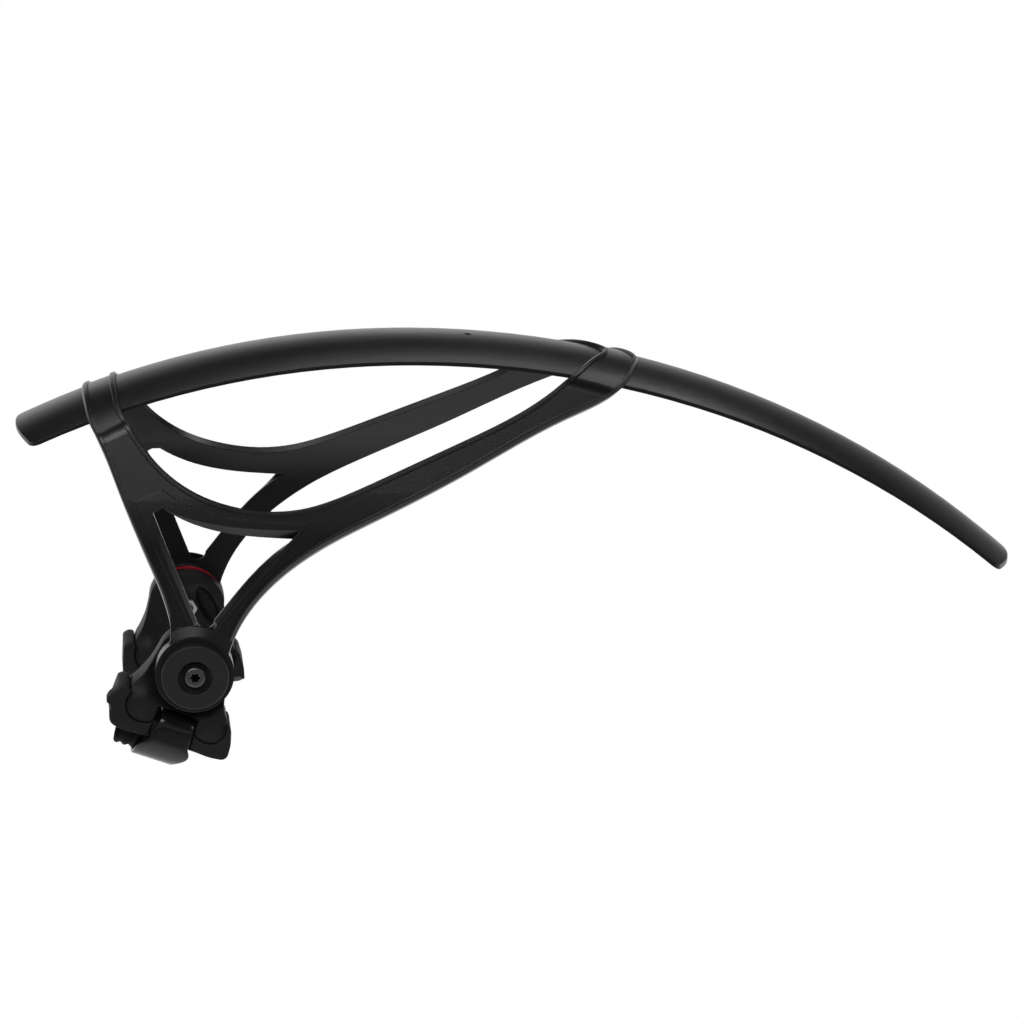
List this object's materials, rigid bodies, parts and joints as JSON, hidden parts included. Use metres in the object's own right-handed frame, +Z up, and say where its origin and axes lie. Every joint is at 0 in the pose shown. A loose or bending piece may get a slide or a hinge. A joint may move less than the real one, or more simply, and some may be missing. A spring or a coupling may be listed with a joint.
{
  "type": "bicycle mudguard",
  "caption": "Clip-on rear bicycle mudguard: a long arched blade in a carrier with hoops and Y-shaped arms, on pivoting shoes that strap to the seat stays.",
  "frame": {"origin": "midway between the pivots of the stay shoes, on their common axis", "axes": "+X to the rear of the bicycle, +Y along the pivot axis to its right side, +Z up"},
  "size_m": [0.462, 0.13, 0.1895],
  "materials": {
    "blade_plastic": "satin",
    "carrier_plastic": "satin",
    "cap_plastic": "matte",
    "screw_steel": "satin",
    "washer_steel": "blackened",
    "red_plastic": "satin",
    "shoe_plastic": "soft matte",
    "pad_rubber": "matte",
    "zinc_steel": "zinc plated",
    "strap_rubber": "glossy"
  },
  "bodies": {
    "mudguard": {"mudguard_blade": "blade_plastic", "carrier_frame": "carrier_plastic", "left_pivot_cap": "cap_plastic", "left_pivot_screw": "screw_steel", "left_screw_washer": "washer_steel", "left_friction_washer": "red_plastic", "right_pivot_cap": "cap_plastic", "right_pivot_screw": "screw_steel", "right_screw_washer": "washer_steel", "right_friction_washer": "red_plastic"},
    "left_shoe": {"left_stay_shoe": "shoe_plastic", "left_shoe_pad": "pad_rubber", "left_captive_nut": "zinc_steel", "left_stay_strap": "strap_rubber"},
    "right_shoe": {"right_stay_shoe": "shoe_plastic", "right_shoe_pad": "pad_rubber", "right_captive_nut": "zinc_steel", "right_stay_strap": "strap_rubber"}
  },
  "joints": [
    {"name": "left_shoe_pivot", "type": "hinge", "parent": "mudguard", "child": "left_shoe", "pos_m": [0, -0.0457, 0], "axis": [0, 1, 0], "range_deg": [-81, 39]},
    {"name": "right_shoe_pivot", "type": "hinge", "parent": "mudguard", "child": "right_shoe", "pos_m": [0, 0.0457, 0], "axis": [0, 1, 0], "range_deg": [-63, 57]}
  ]
}
